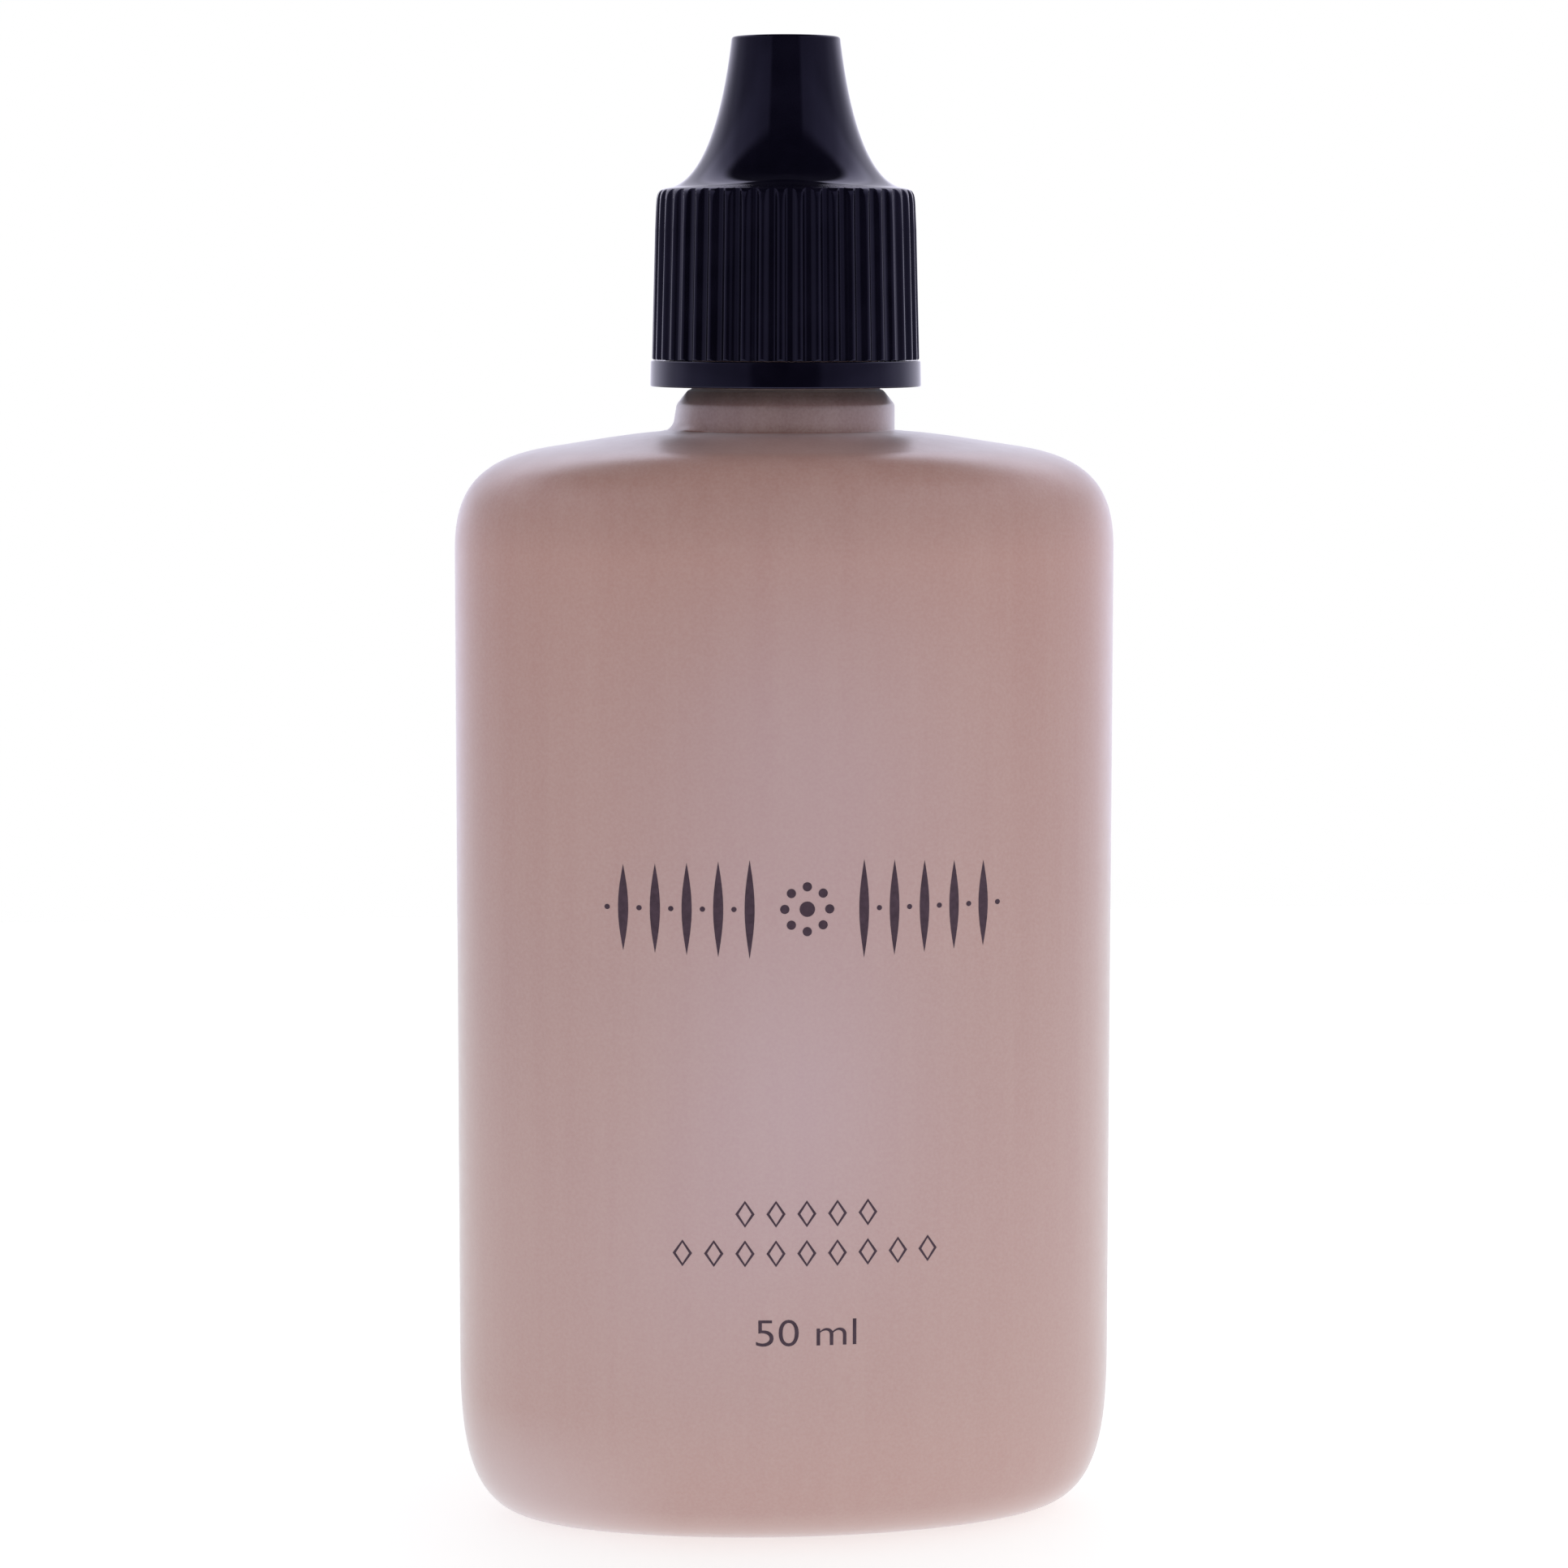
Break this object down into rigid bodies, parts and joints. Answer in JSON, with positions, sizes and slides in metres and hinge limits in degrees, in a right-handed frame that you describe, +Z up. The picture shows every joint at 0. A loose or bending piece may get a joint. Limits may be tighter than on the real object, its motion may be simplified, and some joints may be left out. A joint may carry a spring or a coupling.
{
  "type": "foundation bottle",
  "caption": "Oval frosted squeeze bottle for liquid foundation, with a pressed-in dropper nozzle, a snap-off band and a ribbed screw cap with a tapered nose.",
  "frame": {"origin": "middle of the bottle's footprint, on the surface it stands on", "axes": "+Z up the bottle's axis, +X along its width, -Y out of the printed front"},
  "size_m": [0.044, 0.028, 0.0989],
  "materials": {
    "frosted_shell": "frosted translucent polyethylene",
    "foundation": "opaque liquid foundation",
    "natural_plastic": "natural translucent polyethylene",
    "black_plastic": "glossy black polypropylene"
  },
  "bodies": {
    "filled_bottle": {"bottle": "frosted_shell", "foundation_fill": "foundation", "nozzle_insert": "natural_plastic"},
    "band": {"tamper_band": "black_plastic"},
    "cap": {"screw_cap": "black_plastic"}
  },
  "joints": [
    {"name": "cap_turn", "type": "hinge", "parent": "filled_bottle", "child": "band", "pos_m": [0, 0, 0.0768], "axis": [0, 0, 1], "range_deg": [0, 2160]},
    {"name": "cap_lift", "type": "slide", "parent": "band", "child": "cap", "axis": [0, 0, 1], "range_m": [0, 0.018]}
  ],
  "couplings": [
    {"joint": "cap_lift", "follows": "cap_turn", "m_per_rad": 0.00047746}
  ]
}
